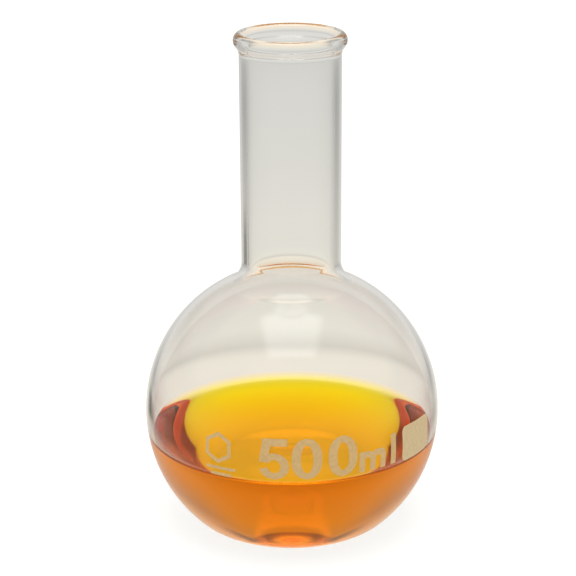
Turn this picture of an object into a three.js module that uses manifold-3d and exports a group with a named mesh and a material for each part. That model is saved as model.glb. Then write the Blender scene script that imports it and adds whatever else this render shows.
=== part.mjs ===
// A 500 ml boiling flask: a blown glass bulb with a long neck, a beaded rim and a flat base to
// stand on. It holds some amber liquid, and its markings are thin pads of enamel fired onto the
// glass. Millimetres, +Z up, origin at the centre of the base, front towards -Y.

import * as THREE from "three";
import { mergeVertices } from "three/addons/utils/BufferGeometryUtils.js";
import Module from "manifold-3d";

const wasm = await Module();
wasm.setup();

// The glass. Radii are outside ones.
const BULB_RADIUS = 52.5;
const BULB_CENTRE_Z = 41.0;
const BULB_WALL = 1.8;
const FOOT_FILLET = 13.0; // where the bulb turns into the base
const FOOT_HOLLOW_RADIUS = 20.0; // inside this the base is hollowed, so the flask stands on a ring
const FOOT_HOLLOW_RISE = 0.8;
const NECK_RADIUS = 17.5;
const NECK_WALL = 2.2;
const SHOULDER_FILLET = 9.0; // where the bulb turns into the neck
const RIM_RADIUS = 19.4;
const RIM_CENTRE_Z = 174.6;
const RIM_HALF_HEIGHT = 2.6;
const RIM_UNDERSIDE_ANGLE = THREE.MathUtils.degToRad(-50); // where the bead meets its fillet

// The liquid.
const LIQUID_LEVEL_Z = 33.0; // the flat part; at the wall the liquid climbs about 2 mm higher
const LIQUID_GAP = 0.3; // between the liquid and the glass

// The enamel markings.
const ENAMEL_GAP = 0.3; // between the glass and the enamel
const ENAMEL_THICKNESS = 0.3;
const BASELINE_Z = 36.4; // the line that the figures and letters stand on
const FIGURE_WIDTH = 10.2;
const FIGURE_HEIGHT = 14.4;
const FIGURE_STROKE = 3.0;
const LETTER_STROKE = 2.1;
const LETTER_M_WIDTH = 10.6;
const LETTER_M_HEIGHT = 7.4;
const LETTER_L_HEIGHT = 11.0;
const PATCH_WIDTH = 16.5;
const PATCH_HEIGHT = 12.8;
const PATCH_CORNER = 2.2;
const PATCH_Z = 35.4;
const HEXAGON_RADIUS = 5.6;
const HEXAGON_STROKE = 1.5;
const BAR_HEIGHT = 1.1;
const BAR_LENGTHS = [11.0, 8.0]; // upper and lower
const LETTER_L_WIDTH = LETTER_STROKE + 0.2;
const BAND_BELOW_BASELINE = 4; // the markings all lie between these two lines
const BAND_ABOVE_BASELINE = 18;
const PRISM_MARGIN = 5; // how far a marking's prism runs out past the glass

// How finely round shapes are faceted.
const SEGMENTS_AROUND = 48;
const BAND_SEGMENTS = 90;
const SAGITTA = 0.1; // the most that a chord of an outline may stand off its arc

const clearGlass = () =>
  new THREE.MeshStandardMaterial({
    color: 0xe4e6e0,
    roughness: 0.03,
    transparent: true,
    opacity: 0.35,
  });
const amberLiquid = () => new THREE.MeshStandardMaterial({ color: 0xf08a10, roughness: 0.05 });
const firedEnamel = () => new THREE.MeshStandardMaterial({ color: 0xd6c49a, roughness: 0.45 });

// Points along an arc about (r, z), with enough of them to keep within SAGITTA.
function arc(r, z, radius, from, to) {
  const step = 2 * Math.acos(1 - SAGITTA / radius);
  const steps = Math.max(1, Math.ceil(Math.abs(to - from) / step));
  return Array.from({ length: steps + 1 }, (_, i) => {
    const angle = from + ((to - from) * i) / steps;
    return new THREE.Vector2(r + radius * Math.cos(angle), z + radius * Math.sin(angle));
  });
}

// Revolves an outline of (radius, height) points about Z.
function revolve(points, segments = SEGMENTS_AROUND) {
  const outline = points.filter((p, i) => i === 0 || p.distanceTo(points[i - 1]) > 1e-6);
  return new THREE.LatheGeometry(outline, segments).rotateX(Math.PI / 2);
}

// The base and bulb from the axis outwards and up to an angle above the bulb's centre, on a
// surface that lies the given distance inside the glass's outer face.
function baseAndBulb(inset, toAngle) {
  const bulb = BULB_RADIUS - inset;
  const fillet = FOOT_FILLET - inset;
  const filletZ = FOOT_FILLET - BULB_CENTRE_Z;
  const filletR = Math.sqrt((BULB_RADIUS - FOOT_FILLET) ** 2 - filletZ ** 2);
  const tangent = Math.atan2(filletZ, filletR);
  const hollow = (FOOT_HOLLOW_RADIUS ** 2 + FOOT_HOLLOW_RISE ** 2) / (2 * FOOT_HOLLOW_RISE);
  const hollowEdge = Math.acos(FOOT_HOLLOW_RADIUS / hollow);
  const hollowArc = arc(0, FOOT_HOLLOW_RISE - hollow + inset, hollow, Math.PI / 2, hollowEdge);
  hollowArc[0].x = 0;
  return [
    ...hollowArc,
    ...arc(filletR, FOOT_FILLET, fillet, -Math.PI / 2, tangent),
    ...arc(0, BULB_CENTRE_Z, bulb, tangent, Math.min(0, toAngle)),
    ...arc(0, BULB_CENTRE_Z, bulb, Math.min(0, toAngle), toAngle),
  ];
}

// The fillet that carries a bulb surface into a neck surface.
function shoulder(bulb, neck, fillet) {
  const r = neck + fillet;
  const rise = Math.sqrt((bulb + fillet) ** 2 - r ** 2);
  const tangent = Math.atan2(rise, r);
  return { tangent, points: arc(r, BULB_CENTRE_Z + rise, fillet, tangent - Math.PI, -Math.PI) };
}

// The bead at the mouth, from the small fillet under it, over the top, to the bore.
function rimBead(boreRadius) {
  const halfWidth = (RIM_RADIUS - boreRadius) / 2;
  const centreR = RIM_RADIUS - halfWidth;
  const onBead = (angle) =>
    new THREE.Vector2(
      centreR + halfWidth * Math.cos(angle),
      RIM_CENTRE_Z + RIM_HALF_HEIGHT * Math.sin(angle),
    );
  const start = onBead(RIM_UNDERSIDE_ANGLE);
  const slope =
    (RIM_HALF_HEIGHT * Math.cos(RIM_UNDERSIDE_ANGLE)) /
    (-halfWidth * Math.sin(RIM_UNDERSIDE_ANGLE));
  const corner = new THREE.Vector2(NECK_RADIUS, start.y - slope * (start.x - NECK_RADIUS));
  const below = new THREE.Vector2(NECK_RADIUS, corner.y - start.distanceTo(corner));
  const fillet = new THREE.QuadraticBezierCurve(below, corner, start).getPoints(3);
  const steps = 12;
  const bead = Array.from({ length: steps + 1 }, (_, i) =>
    onBead(RIM_UNDERSIDE_ANGLE + ((Math.PI - RIM_UNDERSIDE_ANGLE) * i) / steps),
  );
  return [...fillet, ...bead];
}

// The glass vessel: its outer face up from the base, over the rim, and its inner face down again.
function flaskBody() {
  const bore = NECK_RADIUS - NECK_WALL;
  const outside = shoulder(BULB_RADIUS, NECK_RADIUS, SHOULDER_FILLET);
  const inside = shoulder(BULB_RADIUS - BULB_WALL, bore, SHOULDER_FILLET + NECK_WALL);
  return revolve([
    ...baseAndBulb(0, outside.tangent),
    ...outside.points,
    ...rimBead(bore),
    ...inside.points.reverse(),
    ...baseAndBulb(BULB_WALL, inside.tangent).reverse(),
  ]);
}

// The liquid: it fills the bulb up to a flat surface.
function liquidFill() {
  const inset = BULB_WALL + LIQUID_GAP;
  const surface = Math.asin((LIQUID_LEVEL_Z - BULB_CENTRE_Z) / (BULB_RADIUS - inset));
  return revolve([...baseAndBulb(inset, surface), new THREE.Vector2(0, LIQUID_LEVEL_Z)]);
}

function solidOf(geometry) {
  const bare = geometry.clone();
  bare.deleteAttribute("normal");
  bare.deleteAttribute("uv");
  const merged = mergeVertices(bare);
  return new wasm.Manifold(
    new wasm.Mesh({
      numProp: 3,
      vertProperties: merged.attributes.position.array,
      triVerts: new Uint32Array(merged.index.array),
    }),
  );
}

function geometryOf(solid) {
  const mesh = solid.getMesh();
  const geometry = new THREE.BufferGeometry();
  geometry.setAttribute("position", new THREE.BufferAttribute(mesh.vertProperties, 3));
  geometry.setIndex(new THREE.BufferAttribute(mesh.triVerts, 1));
  geometry.computeVertexNormals();
  return geometry;
}

// The thin band over the front of the bulb that every marking is cut from.
function enamelBand() {
  const inner = BULB_RADIUS + ENAMEL_GAP;
  const outer = inner + ENAMEL_THICKNESS;
  const low = Math.asin((BASELINE_Z - BAND_BELOW_BASELINE - BULB_CENTRE_Z) / BULB_RADIUS);
  const high = Math.asin((BASELINE_Z + BAND_ABOVE_BASELINE - BULB_CENTRE_Z) / BULB_RADIUS);
  const points = [
    ...arc(0, BULB_CENTRE_Z, outer, low, high),
    ...arc(0, BULB_CENTRE_Z, inner, high, low),
  ];
  return solidOf(revolve([...points, points[0].clone()], BAND_SEGMENTS));
}

const band = enamelBand();

// A marking: the flat shape is pushed outwards through the band at an azimuth from the front,
// with the shape's own y = 0 at the given height.
function enamelPad(shape, azimuth, z) {
  const prism = new THREE.ExtrudeGeometry(shape, {
    depth: BULB_RADIUS + PRISM_MARGIN,
    bevelEnabled: false,
    curveSegments: 7,
  });
  prism.rotateX(Math.PI / 2);
  prism.rotateZ(THREE.MathUtils.degToRad(azimuth));
  prism.translate(0, 0, z);
  return geometryOf(solidOf(prism).intersect(band));
}

// A closed oval with straight flanks between its two round ends.
function ovalOutline(path, width, height, flank) {
  const top = (height + flank) / 2;
  const bottom = (height - flank) / 2;
  path.absellipse(0, top, width / 2, height - top, 0, Math.PI);
  path.absellipse(0, bottom, width / 2, bottom, Math.PI, 2 * Math.PI);
  path.closePath();
  return path;
}

function figureZero() {
  const shape = ovalOutline(new THREE.Shape(), FIGURE_WIDTH, FIGURE_HEIGHT, 2.4);
  const counter = new THREE.Path();
  const width = FIGURE_WIDTH - 2 * FIGURE_STROKE;
  const low = 0.75 * FIGURE_STROKE;
  counter.absellipse(0, FIGURE_HEIGHT / 2, width / 2, FIGURE_HEIGHT / 2 - low, 0, 2 * Math.PI);
  shape.holes.push(counter);
  return shape;
}

function figureFive() {
  const half = FIGURE_WIDTH / 2;
  const bar = 0.85 * FIGURE_STROKE;
  const bowlTop = 0.655 * FIGURE_HEIGHT;
  const bowlZ = bowlTop / 2;
  const innerX = half - FIGURE_STROKE;
  const innerZ = bowlZ - 0.78 * FIGURE_STROKE;
  const shape = new THREE.Shape();
  shape.moveTo(-0.76 * half, FIGURE_HEIGHT);
  shape.lineTo(-half, 0.44 * FIGURE_HEIGHT);
  shape.lineTo(-innerX - 0.2, 0.42 * FIGURE_HEIGHT);
  shape.absellipse(0, bowlZ, innerX, innerZ, 0.8 * Math.PI, -0.95 * Math.PI, true);
  shape.absellipse(0, bowlZ, half, bowlZ, -0.93 * Math.PI, 0.62 * Math.PI, false);
  shape.lineTo(-0.24 * half, FIGURE_HEIGHT - bar);
  shape.lineTo(0.86 * half, FIGURE_HEIGHT - bar);
  shape.lineTo(0.86 * half, FIGURE_HEIGHT);
  shape.closePath();
  return shape;
}

function letterM() {
  const half = LETTER_M_WIDTH / 2;
  const slot = (LETTER_M_WIDTH - 3 * LETTER_STROKE) / 2;
  const archZ = LETTER_M_HEIGHT - LETTER_STROKE - slot / 2;
  const shape = new THREE.Shape();
  shape.moveTo(-half, 0);
  for (const left of [-half + LETTER_STROKE, LETTER_STROKE / 2]) {
    shape.lineTo(left, 0);
    shape.absarc(left + slot / 2, archZ, slot / 2, Math.PI, 0, true);
    shape.lineTo(left + slot, 0);
  }
  shape.lineTo(half, 0);
  shape.absarc(half - LETTER_STROKE, LETTER_M_HEIGHT - LETTER_STROKE, LETTER_STROKE, 0, Math.PI / 2);
  shape.lineTo(0.5 * LETTER_STROKE, LETTER_M_HEIGHT);
  shape.lineTo(0, LETTER_M_HEIGHT - 0.3 * LETTER_STROKE);
  shape.lineTo(-0.8 * LETTER_STROKE, LETTER_M_HEIGHT);
  shape.lineTo(-half, LETTER_M_HEIGHT);
  shape.closePath();
  return shape;
}

function rectangle(width, height) {
  const half = width / 2;
  const corners = [
    [-half, 0],
    [half, 0],
    [half, height],
    [-half, height],
  ];
  return new THREE.Shape(corners.map(([x, y]) => new THREE.Vector2(x, y)));
}

function roundedRectangle(width, height, corner) {
  const x = width / 2 - corner;
  const y = height - corner;
  const shape = new THREE.Shape();
  shape.absarc(x, corner, corner, -Math.PI / 2, 0);
  shape.absarc(x, y, corner, 0, Math.PI / 2);
  shape.absarc(-x, y, corner, Math.PI / 2, Math.PI);
  shape.absarc(-x, corner, corner, Math.PI, 1.5 * Math.PI);
  shape.closePath();
  return shape;
}

function hexagonRing() {
  const corners = (radius) =>
    Array.from({ length: 6 }, (_, i) => {
      const angle = ((2 * i + 1) * Math.PI) / 6;
      return new THREE.Vector2(radius * Math.cos(angle), radius * Math.sin(angle));
    });
  const shape = new THREE.Shape(corners(HEXAGON_RADIUS));
  shape.holes.push(new THREE.Path(corners(HEXAGON_RADIUS - HEXAGON_STROKE)));
  return shape;
}

const flask = new THREE.Group();

function add(name, geometry, material) {
  const mesh = new THREE.Mesh(geometry, material);
  mesh.name = name;
  flask.add(mesh);
}

add("flask_body", flaskBody(), clearGlass());
add("liquid_fill", liquidFill(), amberLiquid());

// The markings, from left to right: name, shape, azimuth in degrees, height of the shape's foot.
const markings = [
  ["hexagon_mark", hexagonRing(), -28.5, BASELINE_Z + 9],
  ["mark_bar_upper", rectangle(BAR_LENGTHS[0], BAR_HEIGHT), -27.5, BASELINE_Z + 1.2],
  ["mark_bar_lower", rectangle(BAR_LENGTHS[1], BAR_HEIGHT), -27.5, BASELINE_Z - 1.1],
  ["digit_5", figureFive(), -6.6, BASELINE_Z],
  ["digit_0_left", figureZero(), 5.4, BASELINE_Z],
  ["digit_0_right", figureZero(), 19.0, BASELINE_Z],
  ["letter_m", letterM(), 31.3, BASELINE_Z],
  ["letter_l", rectangle(LETTER_L_WIDTH, LETTER_L_HEIGHT), 41.0, BASELINE_Z],
  ["write_on_patch", roundedRectangle(PATCH_WIDTH, PATCH_HEIGHT, PATCH_CORNER), 55.0, PATCH_Z],
];
for (const [name, shape, azimuth, z] of markings) {
  add(name, enamelPad(shape, azimuth, z), firedEnamel());
}

export default flask;
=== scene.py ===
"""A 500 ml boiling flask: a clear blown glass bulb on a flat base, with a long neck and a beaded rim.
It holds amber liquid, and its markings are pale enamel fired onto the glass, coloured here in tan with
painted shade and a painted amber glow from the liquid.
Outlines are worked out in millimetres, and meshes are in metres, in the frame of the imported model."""

import math

import bpy
from mathutils import Matrix, Vector
from mathutils.geometry import delaunay_2d_cdt


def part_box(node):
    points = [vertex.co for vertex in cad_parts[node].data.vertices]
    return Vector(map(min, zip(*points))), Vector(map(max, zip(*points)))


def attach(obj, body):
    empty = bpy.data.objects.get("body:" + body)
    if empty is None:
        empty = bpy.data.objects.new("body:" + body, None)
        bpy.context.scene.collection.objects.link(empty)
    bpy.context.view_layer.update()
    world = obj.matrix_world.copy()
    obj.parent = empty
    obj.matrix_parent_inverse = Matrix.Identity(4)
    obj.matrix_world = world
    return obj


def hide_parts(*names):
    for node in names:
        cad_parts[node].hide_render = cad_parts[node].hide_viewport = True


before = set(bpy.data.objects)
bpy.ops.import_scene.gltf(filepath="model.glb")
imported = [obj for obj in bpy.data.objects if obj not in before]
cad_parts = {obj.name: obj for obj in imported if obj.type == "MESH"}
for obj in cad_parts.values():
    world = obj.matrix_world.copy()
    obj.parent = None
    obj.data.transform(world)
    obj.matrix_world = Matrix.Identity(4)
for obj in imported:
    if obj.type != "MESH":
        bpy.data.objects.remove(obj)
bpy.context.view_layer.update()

MM = 0.001

# The glass, from the frame where its box says it. Radii are outside ones.
BULB_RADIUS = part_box("flask_body")[1].x / MM
TOTAL_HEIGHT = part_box("flask_body")[1].z / MM
BULB_CENTRE_Z = 41.0
BULB_WALL = 1.8
FOOT_FILLET = 13.0
FOOT_HOLLOW_RADIUS = 20.0
FOOT_HOLLOW_RISE = 0.8
NECK_RADIUS = 17.5
NECK_WALL = 2.2
BORE_RADIUS = NECK_RADIUS - NECK_WALL
SHOULDER_FILLET = 9.0
RIM_RADIUS = 19.4
RIM_HALF_HEIGHT = 2.6
RIM_CENTRE_Z = TOTAL_HEIGHT - RIM_HALF_HEIGHT
RIM_UNDERSIDE_ANGLE = math.radians(-50)

# The liquid. It reaches a little way into the wall, so that no film of air shows between them.
LIQUID_LEVEL_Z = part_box("liquid_fill")[1].z / MM
LIQUID_OVERLAP = 0.1
MENISCUS_RISE = 1.9
MENISCUS_LENGTH = 1.3
MENISCUS_REACH = 7 * MENISCUS_LENGTH

# The enamel markings. A very thin gap keeps their backs clear of the glass.
ENAMEL_GAP = 0.015
ENAMEL_THICKNESS = 0.06
ENAMEL_PITCH = 0.7
FIGURE_WIDTH = 10.2
FIGURE_HEIGHT = 14.4
FIGURE_STROKE = 3.0
LETTER_STROKE = 2.1
LETTER_M_WIDTH = 10.6
LETTER_M_HEIGHT = 7.4
LETTER_L_WIDTH = LETTER_STROKE + 0.2
LETTER_L_HEIGHT = 11.0
PATCH_WIDTH = 16.5
PATCH_HEIGHT = 12.8
PATCH_CORNER = 2.2
HEXAGON_RADIUS = 5.6
HEXAGON_STROKE = 1.5
BAR_HEIGHT = 1.1
UPPER_BAR_LENGTH = 11.0
LOWER_BAR_LENGTH = 8.0

# How glass and liquid bend light, and how much of its head-on reflection the glass keeps.
GLASS_IOR = 1.47
LIQUID_IOR = 1.345
GLASS_REFLECTION = 0.35

# How finely round shapes are divided.
SAGITTA = 0.004
SEGMENTS_AROUND = 228
HOLLOW_STEPS = 40
BEAD_FILLET_STEPS = 12
BEAD_STEPS = 56
MENISCUS_STEPS = 40
MENISCUS_CROWDING = 1.6
SURFACE_RINGS = 8
SHARP_FOLD = math.radians(40)


# Outlines

def arc(r, z, radius, start, end):
    """Points along an arc about (r, z), close enough to keep within SAGITTA."""
    step = 2 * math.acos(1 - SAGITTA / radius)
    count = max(1, math.ceil(abs(end - start) / step))
    angles = [start + (end - start) * i / count for i in range(count + 1)]
    return [(r + radius * math.cos(a), z + radius * math.sin(a)) for a in angles]


def base_and_bulb(inset, to_angle):
    """The base and bulb from the axis outwards, up to an angle above the bulb's centre."""
    fillet_z = FOOT_FILLET - BULB_CENTRE_Z
    fillet_r = math.sqrt((BULB_RADIUS - FOOT_FILLET) ** 2 - fillet_z**2)
    tangent = math.atan2(fillet_z, fillet_r)
    outwards = [i / HOLLOW_STEPS for i in range(HOLLOW_STEPS + 1)]
    hollow = [
        (FOOT_HOLLOW_RADIUS * t, inset + FOOT_HOLLOW_RISE * (1 + math.cos(math.pi * t)) / 2)
        for t in outwards
    ]
    return (
        hollow
        + arc(fillet_r, FOOT_FILLET, FOOT_FILLET - inset, -math.pi / 2, tangent)
        + arc(0, BULB_CENTRE_Z, BULB_RADIUS - inset, tangent, to_angle)
    )


def shoulder(bulb, neck, fillet):
    """The angle where the bulb meets its fillet, and the fillet's points up to the neck."""
    r = neck + fillet
    rise = math.sqrt((bulb + fillet) ** 2 - r**2)
    tangent = math.atan2(rise, r)
    return tangent, arc(r, BULB_CENTRE_Z + rise, fillet, tangent - math.pi, -math.pi)


def rim_bead():
    """The bead at the mouth, from the small fillet under it, over the top, to the bore."""
    half_width = (RIM_RADIUS - BORE_RADIUS) / 2
    centre_r = RIM_RADIUS - half_width

    def on_bead(angle):
        return Vector((
            centre_r + half_width * math.cos(angle),
            RIM_CENTRE_Z + RIM_HALF_HEIGHT * math.sin(angle),
        ))

    start = on_bead(RIM_UNDERSIDE_ANGLE)
    slope = -RIM_HALF_HEIGHT / half_width / math.tan(RIM_UNDERSIDE_ANGLE)
    corner = Vector((NECK_RADIUS, start.y - slope * (start.x - NECK_RADIUS)))
    below = Vector((NECK_RADIUS, corner.y - (start - corner).length))
    fillet = [
        below * (1 - t) ** 2 + corner * 2 * t * (1 - t) + start * t * t
        for t in (i / BEAD_FILLET_STEPS for i in range(BEAD_FILLET_STEPS))
    ]
    bead = [
        on_bead(RIM_UNDERSIDE_ANGLE + (math.pi - RIM_UNDERSIDE_ANGLE) * i / BEAD_STEPS)
        for i in range(BEAD_STEPS + 1)
    ]
    return [tuple(p) for p in fillet + bead]


def straight(bottom, top, pitch=3.0):
    """Points between the ends of a straight upright wall, so that its faces stay square."""
    (r, low), (_, high) = bottom, top
    count = max(1, round(abs(high - low) / pitch))
    return [(r, low + (high - low) * i / count) for i in range(1, count)]


def vessel_outline():
    outside_tangent, outside = shoulder(BULB_RADIUS, NECK_RADIUS, SHOULDER_FILLET)
    inside_tangent, inside = shoulder(
        BULB_RADIUS - BULB_WALL, BORE_RADIUS, SHOULDER_FILLET + NECK_WALL
    )
    rim = rim_bead()
    inside = inside[::-1]
    return (
        base_and_bulb(0, outside_tangent)
        + outside
        + straight(outside[-1], rim[0])
        + rim
        + straight(rim[-1], inside[0])
        + inside
        + base_and_bulb(BULB_WALL, inside_tangent)[::-1]
    )


def liquid_outline():
    """The liquid up to its contact line, then over the meniscus to the flat surface."""
    inset = BULB_WALL - LIQUID_OVERLAP
    contact = math.asin((LIQUID_LEVEL_Z + MENISCUS_RISE - BULB_CENTRE_Z) / (BULB_RADIUS - inset))
    side = base_and_bulb(inset, contact)
    contact_r = side[-1][0]
    meniscus = []
    for i in range(1, MENISCUS_STEPS + 1):
        inward = MENISCUS_REACH * (i / MENISCUS_STEPS) ** MENISCUS_CROWDING
        rise = MENISCUS_RISE * math.exp(-inward / MENISCUS_LENGTH)
        meniscus.append((contact_r - inward, LIQUID_LEVEL_Z + rise))
    inner_r = meniscus[-1][0]
    surface = [
        (inner_r * (1 - i / SURFACE_RINGS), LIQUID_LEVEL_Z) for i in range(1, SURFACE_RINGS + 1)
    ]
    return side + meniscus + surface


# Meshes

def piece(name, vertices, faces, material, node, slot):
    """A mesh object that stands for a CAD node and rides on the only body."""
    mesh = bpy.data.meshes.new(name)
    mesh.from_pydata([tuple(c * MM for c in v) for v in vertices], [], faces)
    mesh.update()
    mesh.validate()
    mesh.materials.append(material)
    obj = bpy.data.objects.new(name, mesh)
    bpy.context.scene.collection.objects.link(obj)
    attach(obj, "root")
    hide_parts(node)
    return obj


def revolved(outline, segments=SEGMENTS_AROUND):
    """Vertices and faces of an outline of (radius, height) turned about Z, closed on the axis."""
    points = [outline[0]]
    for p in outline[1:]:
        if math.dist(p, points[-1]) > 1e-4:
            points.append(p)
    vertices = []
    rings = []
    for r, z in points:
        start = len(vertices)
        if r < 1e-6:
            vertices.append((0.0, 0.0, z))
            rings.append([start] * segments)
            continue
        for k in range(segments):
            turn = 2 * math.pi * k / segments
            vertices.append((r * math.cos(turn), r * math.sin(turn), z))
        rings.append(list(range(start, start + segments)))
    faces = []
    for low, high in zip(rings, rings[1:]):
        for k in range(segments):
            following = (k + 1) % segments
            corners = [low[k], low[following], high[following], high[k]]
            faces.append(list(dict.fromkeys(corners)))
    return vertices, faces


def wet_inner_wall(vessel, material):
    """Gives the wetted material to the faces of the inner wall below the contact line."""
    vessel.data.materials.append(material)
    contact_z = (LIQUID_LEVEL_Z + MENISCUS_RISE) * MM
    centre = Vector((0, 0, BULB_CENTRE_Z * MM))
    for face in vessel.data.polygons:
        if face.center.z < contact_z and face.normal.dot(centre - face.center) > 0:
            face.material_index = 1


# Flat shapes of the markings: an outline and its holes, as points in millimetres

def ellipse(x, y, half_x, half_y, start, end, pitch=0.35):
    """Points along part of an ellipse, from one angle in half turns to another."""
    count = max(4, math.ceil(abs(end - start) * math.pi * max(half_x, half_y) / pitch))
    angles = [math.pi * (start + (end - start) * i / count) for i in range(count + 1)]
    return [(x + half_x * math.cos(a), y + half_y * math.sin(a)) for a in angles]


def figure_zero():
    flank = 2.4
    end = (FIGURE_HEIGHT - flank) / 2
    half = FIGURE_WIDTH / 2
    outline = ellipse(0, end + flank, half, end, 0, 1) + ellipse(0, end, half, end, 1, 2)
    counter_half = half - FIGURE_STROKE
    counter_rise = FIGURE_HEIGHT / 2 - 0.75 * FIGURE_STROKE
    return outline, [ellipse(0, FIGURE_HEIGHT / 2, counter_half, counter_rise, 0, 2)]


def figure_five():
    half = FIGURE_WIDTH / 2
    bar = 0.85 * FIGURE_STROKE
    bowl = 0.655 * FIGURE_HEIGHT / 2
    inner_x = half - FIGURE_STROKE
    inner_y = bowl - 0.78 * FIGURE_STROKE
    outline = [
        (-0.76 * half, FIGURE_HEIGHT),
        (-half, 0.44 * FIGURE_HEIGHT),
        (-inner_x - 0.2, 0.42 * FIGURE_HEIGHT),
    ]
    outline += ellipse(0, bowl, inner_x, inner_y, 0.8, -0.95)
    outline += ellipse(0, bowl, half, bowl, -0.93, 0.62)
    outline += [
        (-0.24 * half, FIGURE_HEIGHT - bar),
        (0.86 * half, FIGURE_HEIGHT - bar),
        (0.86 * half, FIGURE_HEIGHT),
    ]
    return outline, []


def letter_m():
    half = LETTER_M_WIDTH / 2
    slot = (LETTER_M_WIDTH - 3 * LETTER_STROKE) / 2
    arch = LETTER_M_HEIGHT - LETTER_STROKE - slot / 2
    outline = [(-half, 0)]
    for left in (-half + LETTER_STROKE, LETTER_STROKE / 2):
        outline.append((left, 0))
        outline += ellipse(left + slot / 2, arch, slot / 2, slot / 2, 1, 0)
        outline.append((left + slot, 0))
    outline.append((half, 0))
    corner = LETTER_M_HEIGHT - LETTER_STROKE
    outline += ellipse(half - LETTER_STROKE, corner, LETTER_STROKE, LETTER_STROKE, 0, 0.5)
    outline += [
        (0.5 * LETTER_STROKE, LETTER_M_HEIGHT),
        (0, LETTER_M_HEIGHT - 0.3 * LETTER_STROKE),
        (-0.8 * LETTER_STROKE, LETTER_M_HEIGHT),
        (-half, LETTER_M_HEIGHT),
    ]
    return outline, []


def rectangle(width, height):
    half = width / 2
    return [(-half, 0), (half, 0), (half, height), (-half, height)], []


def rounded_rectangle(width, height, corner):
    x = width / 2 - corner
    y = height - corner
    outline = ellipse(x, corner, corner, corner, -0.5, 0)
    outline += ellipse(x, y, corner, corner, 0, 0.5)
    outline += ellipse(-x, y, corner, corner, 0.5, 1)
    outline += ellipse(-x, corner, corner, corner, 1, 1.5)
    return outline, []


def hexagon_ring():
    def corners(radius):
        turns = [(2 * i + 1) * math.pi / 6 for i in range(6)]
        return [(radius * math.cos(t), HEXAGON_RADIUS + radius * math.sin(t)) for t in turns]

    return corners(HEXAGON_RADIUS), [corners(HEXAGON_RADIUS - HEXAGON_STROKE)]


def divided(outline, pitch):
    """A closed outline with its long sides split up and its double points left out."""
    result = []
    for a, b in zip(outline, outline[1:] + outline[:1]):
        length = math.dist(a, b)
        if length < 1e-6:
            continue
        count = max(1, math.ceil(length / pitch))
        result += [
            (a[0] + (b[0] - a[0]) * i / count, a[1] + (b[1] - a[1]) * i / count)
            for i in range(count)
        ]
    return result


def holds(outline, x, y):
    """True if the point lies inside the outline."""
    inside = False
    for (ax, ay), (bx, by) in zip(outline, outline[1:] + outline[:1]):
        if (ay > y) != (by > y) and x < ax + (y - ay) / (by - ay) * (bx - ax):
            inside = not inside
    return inside


def filled(outline, holes):
    """Points, even triangles and boundary loops that fill a flat shape."""
    loops = [divided(loop, ENAMEL_PITCH) for loop in [outline, *holes]]
    points = []
    edges = []
    for loop in loops:
        start = len(points)
        points += loop
        edges += [(start + i, start + (i + 1) % len(loop)) for i in range(len(loop))]

    def inside(x, y):
        return holds(loops[0], x, y) and not any(holds(loop, x, y) for loop in loops[1:])

    xs = [p[0] for p in loops[0]]
    ys = [p[1] for p in loops[0]]
    boundary = list(points)
    columns = range(math.ceil(min(xs) / ENAMEL_PITCH), math.ceil(max(xs) / ENAMEL_PITCH))
    rows = range(math.ceil(min(ys) / ENAMEL_PITCH), math.ceil(max(ys) / ENAMEL_PITCH))
    for column in columns:
        for row in rows:
            grid = (column * ENAMEL_PITCH, row * ENAMEL_PITCH)
            clear = min(math.dist(grid, p) for p in boundary) > 0.5 * ENAMEL_PITCH
            if clear and inside(*grid):
                points.append(grid)
    flat = [Vector(p) for p in points]
    made = delaunay_2d_cdt(flat, edges, [], 0, 1e-7)
    vertices = made[0]
    triangles = []
    for face in made[2]:
        x = sum(vertices[i].x for i in face) / len(face)
        y = sum(vertices[i].y for i in face) / len(face)
        if inside(x, y):
            triangles.append(face)
    return vertices, triangles


def enamel_pad(name, shape, material):
    """A thin pad on the bulb, where its CAD node is, with the flat shape wrapped onto the glass."""
    low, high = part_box(name)
    middle = (low + high) / 2
    azimuth = math.atan2(middle.x, -middle.y)
    foot_z = low.z / MM
    flat, triangles = filled(*shape)

    def wrapped(p, radius):
        z = foot_z + p.y - BULB_CENTRE_Z
        turn = azimuth + math.asin(p.x / math.sqrt(BULB_RADIUS**2 - z * z))
        ring = math.sqrt(radius**2 - z * z)
        return (ring * math.sin(turn), -ring * math.cos(turn), z + BULB_CENTRE_Z)

    top = BULB_RADIUS + ENAMEL_THICKNESS
    bottom = BULB_RADIUS + ENAMEL_GAP
    vertices = [wrapped(p, top) for p in flat] + [wrapped(p, bottom) for p in flat]
    count = len(flat)
    faces = [list(t) for t in triangles]
    faces += [[i + count for i in reversed(t)] for t in triangles]
    sides = {}
    for triangle in triangles:
        for a, b in zip(triangle, triangle[1:] + triangle[:1]):
            sides[(a, b)] = (b, a) not in sides
            if (b, a) in sides:
                sides[(b, a)] = False
    faces += [[b, a, a + count, b + count] for (a, b), free in sides.items() if free]
    return piece(name + "_enamel", vertices, faces, material, name, "fired_enamel")


# Materials

def new_material(name):
    material = bpy.data.materials.new(name)
    material.use_nodes = True
    nodes = material.node_tree.nodes
    return material, material.node_tree, nodes["Principled BSDF"]


def noise(tree, scale, detail=2.0, roughness=0.5):
    """Noise in the object's own space."""
    place = tree.nodes.new("ShaderNodeTexCoord")
    texture = tree.nodes.new("ShaderNodeTexNoise")
    texture.inputs["Scale"].default_value = scale
    texture.inputs["Detail"].default_value = detail
    texture.inputs["Roughness"].default_value = roughness
    tree.links.new(place.outputs["Object"], texture.inputs["Vector"])
    return texture.outputs["Fac"]


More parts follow.
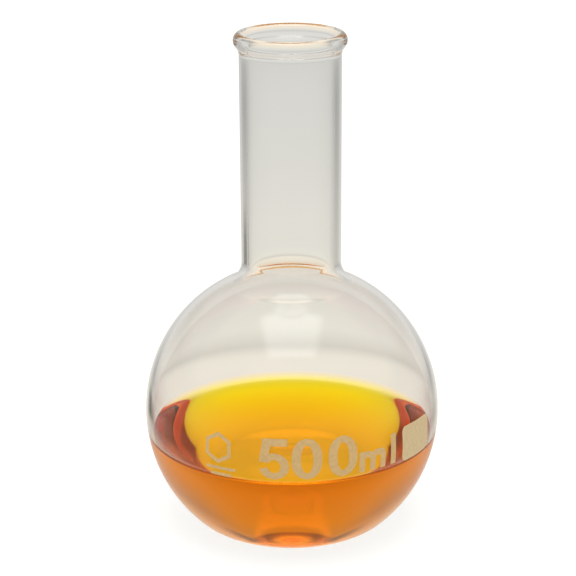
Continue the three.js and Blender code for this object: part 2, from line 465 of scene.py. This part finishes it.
def mapped(tree, value, low, high):
    """The value's middle range spread over low to high."""
    spread = tree.nodes.new("ShaderNodeMapRange")
    spread.inputs["From Min"].default_value = 0.3
    spread.inputs["From Max"].default_value = 0.7
    spread.inputs["To Min"].default_value = low
    spread.inputs["To Max"].default_value = high
    tree.links.new(value, spread.inputs["Value"])
    return spread.outputs["Result"]


def tinted(tree, value, first, second):
    """A colour that goes from first to second with the value."""
    mix = tree.nodes.new("ShaderNodeMix")
    mix.data_type = "RGBA"
    mix.inputs["A"].default_value = (*first, 1)
    mix.inputs["B"].default_value = (*second, 1)
    tree.links.new(value, mix.inputs["Factor"])
    return mix.outputs["Result"]


def bumped(tree, shader, height, distance):
    bump = tree.nodes.new("ShaderNodeBump")
    bump.inputs["Strength"].default_value = 1.0
    bump.inputs["Distance"].default_value = distance
    tree.links.new(height, bump.inputs["Height"])
    tree.links.new(bump.outputs["Normal"], shader.inputs["Normal"])


def clear_glass(name="clear_glass"):
    material, tree, shader = new_material(name)
    shader.inputs["IOR"].default_value = GLASS_IOR
    kept = GLASS_REFLECTION
    shader.inputs["Specular Tint"].default_value = (kept, kept, kept, 1)
    shader.inputs["Transmission Weight"].default_value = 1.0
    tone = mapped(tree, noise(tree, 30), 0, 1)
    colour = tinted(tree, tone, (0.980, 0.985, 0.970), (0.995, 0.995, 0.985))
    tree.links.new(colour, shader.inputs["Base Color"])
    tree.links.new(mapped(tree, noise(tree, 55), 0.0, 0.012), shader.inputs["Roughness"])
    return material


def wetted_glass():
    """The inner wall under the liquid, which hardly reflects, as the two are so alike."""
    material = clear_glass("wetted_glass")
    shader = material.node_tree.nodes["Principled BSDF"]
    shader.inputs["Specular Tint"].default_value = (0, 0, 0, 1)
    return material


def amber_liquid():
    material, tree, shader = new_material("amber_liquid")
    shader.inputs["IOR"].default_value = LIQUID_IOR
    shader.inputs["Specular Tint"].default_value = (0, 0, 0, 1)
    shader.inputs["Transmission Weight"].default_value = 1.0
    shader.inputs["Roughness"].default_value = 0.0
    tone = mapped(tree, noise(tree, 25), 0, 1)
    colour = tinted(tree, tone, (1.0, 0.99, 0.97), (1.0, 1.0, 0.99))
    tree.links.new(colour, shader.inputs["Base Color"])
    absorption = tree.nodes.new("ShaderNodeVolumeAbsorption")
    absorption.inputs["Color"].default_value = (0.999, 0.9590, 0.0, 1)
    absorption.inputs["Density"].default_value = 400.0
    output = tree.nodes["Material Output"]
    tree.links.new(absorption.outputs["Volume"], output.inputs["Volume"])
    return material


# The colours passed in are painted light: pale enamel made tan as painted shade, and warmed as a
# painted amber glow from the liquid behind.
def fired_enamel(name, dark, light):
    material, tree, shader = new_material(name)
    tone = mapped(tree, noise(tree, 900, detail=4), 0, 1)
    colour = tinted(tree, tone, dark, light)
    tree.links.new(colour, shader.inputs["Base Color"])
    tree.links.new(mapped(tree, noise(tree, 700), 0.38, 0.6), shader.inputs["Roughness"])
    bumped(tree, shader, noise(tree, 2600, detail=3), 0.00003)
    return material


# The stage

CAMERA_DISTANCE = 0.5996
CAMERA_HEIGHT = 0.2923
CAMERA_DOWN = math.radians(18.97)
CAMERA_ASIDE = math.radians(0.115)
CAMERA_ROLL = math.radians(-0.31)
LENS = 112.3
SENSOR = 36.0

# The studio's light as (elevation in degrees, brightness): behind the flask as the camera sees
# it, round about it, and in front of it. All three meet straight up and straight down, and share
# one warm tint, strongest low down.
STUDIO_BEHIND = [
    (-90, 0.5), (-68, 0.6), (-55, 1.08), (-35, 0.95), (-27, 0.86), (-20.6, 0.88), (-20.45, 0.64),
    (-20.1, 0.68), (-19.3, 0.81), (-16, 0.74), (-9, 0.62), (-4, 0.74), (8, 0.74), (19, 0.60),
    (21, 0.05), (25, 0.05), (30, 1.1), (50, 1.1), (90, 1.0),
]
STUDIO_AROUND = [
    (-90, 0.5), (-68, 0.6), (-55, 0.95), (-45, 1.0), (-30, 0.85), (-22, 0.45), (-18, 0.55),
    (-13, 0.40), (-8, 0.62), (-2, 0.75), (12, 0.45), (24, 0.70), (40, 0.60), (90, 1.0),
]
STUDIO_FRONT = [
    (-90, 0.5), (-68, 0.6), (-55, 0.75), (-42, 0.50), (-25, 0.85), (-5, 0.75), (8, 0.60),
    (20, 0.25), (36, 0.25), (50, 0.70), (90, 1.0),
]
STUDIO_TINTS = [
    (-90, (1.0, 0.80, 0.55)), (-68, (1.0, 0.84, 0.64)), (-55, (1.0, 0.88, 0.72)),
    (-35, (1.0, 0.88, 0.73)), (-22, (1.0, 0.93, 0.82)), (-19.5, (1.0, 0.97, 0.88)),
    (-13, (1.0, 0.985, 0.95)),
]

# Where the ramps meet, as how far a direction points backwards or forwards for each unit of its
# length along the floor.
BEHIND_EDGES = (0.88, 0.99)
FRONT_EDGES = (-0.2, 0.8)

# A softbox overhead, as the sideways and backwards span that it covers at unit height, and a dark
# flag low on the left, as the sideways and upwards span of the directions that it shades.
SOFTBOX_ASIDE = 0.42
SOFTBOX_BACK = (-0.62, 0.28)
SOFTBOX_SOFTNESS = 0.16
SOFTBOX_HORIZON = (0.1, 0.3)
SOFTBOX_BRIGHTNESS = 3.5
FLAG_ASIDE = (-0.72, -0.38)
FLAG_ASIDE_SOFTNESS = 0.08
FLAG_HEIGHT = (-0.385, -0.275)
FLAG_HEIGHT_SOFTNESS = 0.03
FLAG_NEAR_EDGE = (0.0, 0.1)
FLAG_SHADE = 0.65


def add_camera():
    camera = bpy.data.objects.new("camera", bpy.data.cameras.new("camera"))
    camera.data.sensor_width = SENSOR
    camera.data.lens = LENS
    camera.data.clip_start = 0.01
    aim = Matrix.Rotation(CAMERA_ASIDE, 4, "Z")
    aim @= Matrix.Rotation(math.pi / 2 - CAMERA_DOWN, 4, "X")
    aim @= Matrix.Rotation(CAMERA_ROLL, 4, "Z")
    camera.matrix_world = Matrix.Translation((0, -CAMERA_DISTANCE, CAMERA_HEIGHT)) @ aim
    bpy.context.scene.collection.objects.link(camera)
    bpy.context.scene.camera = camera


def add_floor():
    """A pale floor. Glass doesn't refract it: through the glass the studio's own greys show."""
    half = 6.0
    mesh = bpy.data.meshes.new("floor")
    corners = [(-half, -half, 0), (half, -half, 0), (half, half, 0), (-half, half, 0)]
    mesh.from_pydata(corners, [], [(0, 1, 2, 3)])
    material, tree, shader = new_material("pale_floor")
    shader.inputs["Roughness"].default_value = 0.9
    shader.inputs["Specular IOR Level"].default_value = 0.0
    tone = mapped(tree, noise(tree, 3), 0, 1)
    colour = tinted(tree, tone, (0.24, 0.24, 0.238), (0.25, 0.25, 0.248))
    tree.links.new(colour, shader.inputs["Base Color"])
    shader.inputs["Emission Color"].default_value = (1, 1, 0.995, 1)
    shader.inputs["Emission Strength"].default_value = 0.86
    mesh.materials.append(material)
    floor = bpy.data.objects.new("floor", mesh)
    bpy.context.scene.collection.objects.link(floor)
    floor.visible_transmission = False
    floor.visible_glossy = False


def maths(tree, operation, first, second=None):
    """A Math node's result. Each input is a number or another node's output."""
    node = tree.nodes.new("ShaderNodeMath")
    node.operation = operation
    for socket, value in zip(node.inputs, (first, second)):
        if isinstance(value, (int, float)):
            socket.default_value = value
        elif value is not None:
            tree.links.new(value, socket)
    return node.outputs["Value"]


def smooth_step(tree, value, start, end):
    """0 before start and 1 past end, with a smooth turn between them."""
    step = tree.nodes.new("ShaderNodeMapRange")
    step.interpolation_type = "SMOOTHSTEP"
    step.inputs["From Min"].default_value = start
    step.inputs["From Max"].default_value = end
    tree.links.new(value, step.inputs["Value"])
    return step.outputs["Result"]


def within(tree, value, span, soft):
    """1 while the value lies in the span, with a soft edge inside each end of it."""
    low, high = span
    above = smooth_step(tree, value, low, low + soft)
    below = smooth_step(tree, maths(tree, "MULTIPLY", value, -1.0), -high, soft - high)
    return maths(tree, "MULTIPLY", above, below)


def ramp_of(tree, value, stops):
    """A colour ramp over the value, from stops of position and colour."""
    ramp = tree.nodes.new("ShaderNodeValToRGB")
    while len(ramp.color_ramp.elements) < len(stops):
        ramp.color_ramp.elements.new(0.5)
    for element, (position, colour) in zip(ramp.color_ramp.elements, stops):
        element.position = position
        element.color = (*colour, 1)
    tree.links.new(value, ramp.inputs["Fac"])
    return ramp.outputs["Color"]


def blended(tree, first, second, factor, blend_type="MIX"):
    mix = tree.nodes.new("ShaderNodeMix")
    mix.data_type = "RGBA"
    mix.blend_type = blend_type
    for name, value in (("A", first), ("B", second), ("Factor", factor)):
        if isinstance(value, (int, float)):
            mix.inputs[name].default_value = value
        else:
            tree.links.new(value, mix.inputs[name])
    return mix.outputs["Result"]


def length_of(tree, first, second):
    """The length of a direction's shadow on the plane of two of its axes."""
    squares = [maths(tree, "MULTIPLY", side, side) for side in (first, second)]
    return maths(tree, "SQRT", maths(tree, "ADD", *squares))


def by_elevation(tree, sine, stops):
    """A ramp over the sine of an elevation, with its stops given in degrees."""
    height = maths(tree, "MULTIPLY", maths(tree, "ADD", sine, 1.0), 0.5)
    placed = []
    for degrees, value in stops:
        colour = value if isinstance(value, tuple) else (value, value, value)
        placed.append(((math.sin(math.radians(degrees)) + 1) / 2, colour))
    return ramp_of(tree, height, placed)


def backdrop_light(tree, y, z, flat):
    """The studio all round. Behind the flask its bands run level, as the edge of a table does."""
    backwards = maths(tree, "DIVIDE", y, flat)
    forwards = maths(tree, "MULTIPLY", backwards, -1.0)
    level = maths(tree, "DIVIDE", z, length_of(tree, y, z))
    light = blended(
        tree,
        by_elevation(tree, z, STUDIO_AROUND),
        by_elevation(tree, level, STUDIO_BEHIND),
        smooth_step(tree, backwards, *BEHIND_EDGES),
    )
    front = smooth_step(tree, forwards, *FRONT_EDGES)
    light = blended(tree, light, by_elevation(tree, z, STUDIO_FRONT), front)
    return blended(tree, light, by_elevation(tree, z, STUDIO_TINTS), 1.0, "MULTIPLY")


def flag_shade(tree, x, y, z, flat):
    """What the dark flag leaves of the light behind it."""
    aside = maths(tree, "DIVIDE", x, flat)
    flag = maths(
        tree,
        "MULTIPLY",
        within(tree, aside, FLAG_ASIDE, FLAG_ASIDE_SOFTNESS),
        within(tree, z, FLAG_HEIGHT, FLAG_HEIGHT_SOFTNESS),
    )
    flag = maths(tree, "MULTIPLY", flag, smooth_step(tree, y, *FLAG_NEAR_EDGE))
    return maths(tree, "SUBTRACT", 1.0, maths(tree, "MULTIPLY", flag, FLAG_SHADE))


def softbox_light(tree, x, y, z):
    """The soft light overhead, and nothing below its horizon."""
    softbox = maths(
        tree,
        "MULTIPLY",
        within(
            tree,
            maths(tree, "DIVIDE", x, z),
            (-SOFTBOX_ASIDE, SOFTBOX_ASIDE),
            SOFTBOX_SOFTNESS,
        ),
        within(tree, maths(tree, "DIVIDE", y, z), SOFTBOX_BACK, SOFTBOX_SOFTNESS),
    )
    softbox = maths(tree, "MULTIPLY", softbox, smooth_step(tree, z, *SOFTBOX_HORIZON))
    return maths(tree, "MULTIPLY", softbox, SOFTBOX_BRIGHTNESS)


def add_studio():
    """Soft light from all round, which the glass and enamel see. The camera sees plain white."""
    world = bpy.data.worlds.new("studio")
    bpy.context.scene.world = world
    world.use_nodes = True
    tree = world.node_tree
    place = tree.nodes.new("ShaderNodeTexCoord")
    split = tree.nodes.new("ShaderNodeSeparateXYZ")
    tree.links.new(place.outputs["Generated"], split.inputs["Vector"])
    x, y, z = (split.outputs[axis] for axis in "XYZ")
    flat = length_of(tree, x, y)

    light = backdrop_light(tree, y, z, flat)
    light = blended(tree, light, flag_shade(tree, x, y, z, flat), 1.0, "MULTIPLY")
    light = blended(tree, light, softbox_light(tree, x, y, z), 1.0, "ADD")

    studio = tree.nodes["Background"]
    tree.links.new(light, studio.inputs["Color"])
    plain = tree.nodes.new("ShaderNodeBackground")
    plain.inputs["Color"].default_value = (1, 1, 1, 1)
    path = tree.nodes.new("ShaderNodeLightPath")
    chosen = tree.nodes.new("ShaderNodeMixShader")
    tree.links.new(path.outputs["Is Camera Ray"], chosen.inputs["Fac"])
    tree.links.new(studio.outputs["Background"], chosen.inputs[1])
    tree.links.new(plain.outputs["Background"], chosen.inputs[2])
    tree.links.new(chosen.outputs["Shader"], tree.nodes["World Output"].inputs["Surface"])


def set_up_cycles():
    """Light runs a long way along the inside of the wall, so it may bounce many times."""
    scene = bpy.context.scene
    scene.view_settings.view_transform = "Standard"
    scene.cycles.max_bounces = 96
    scene.cycles.transmission_bounces = 96
    scene.cycles.glossy_bounces = 96
    scene.cycles.transparent_max_bounces = 32
    scene.cycles.diffuse_bounces = 4
    scene.cycles.sample_clamp_indirect = 6.0


def build():
    glass = clear_glass()
    liquid = amber_liquid()
    # The enamel is pale in itself. Both colour pairs are painted shade and painted amber glow from the
    # liquid behind; the figures and letters carry more of the painted glow than the patch.
    enamel = fired_enamel("fired_enamel", (0.60, 0.39, 0.155), (0.70, 0.47, 0.20))
    patch_enamel_painted_light = fired_enamel("patch_enamel_painted_light", (0.62, 0.46, 0.24), (0.70, 0.54, 0.30))
    pieces = [
        piece("glass_vessel", *revolved(vessel_outline()), glass, "flask_body", "clear_glass"),
        piece("liquid", *revolved(liquid_outline()), liquid, "liquid_fill", "amber_liquid"),
    ]
    for obj in pieces:
        obj.data.shade_smooth()
        obj.data.set_sharp_from_angle(angle=SHARP_FOLD)
    wet_inner_wall(pieces[0], wetted_glass())
    shapes = {
        "hexagon_mark": hexagon_ring(),
        "mark_bar_upper": rectangle(UPPER_BAR_LENGTH, BAR_HEIGHT),
        "mark_bar_lower": rectangle(LOWER_BAR_LENGTH, BAR_HEIGHT),
        "digit_5": figure_five(),
        "digit_0_left": figure_zero(),
        "digit_0_right": figure_zero(),
        "letter_m": letter_m(),
        "letter_l": rectangle(LETTER_L_WIDTH, LETTER_L_HEIGHT),
        "write_on_patch": rounded_rectangle(PATCH_WIDTH, PATCH_HEIGHT, PATCH_CORNER),
    }
    for name, shape in shapes.items():
        enamel_pad(name, shape, patch_enamel_painted_light if name == "write_on_patch" else enamel)


add_camera()
build()
add_floor()
add_studio()
set_up_cycles()
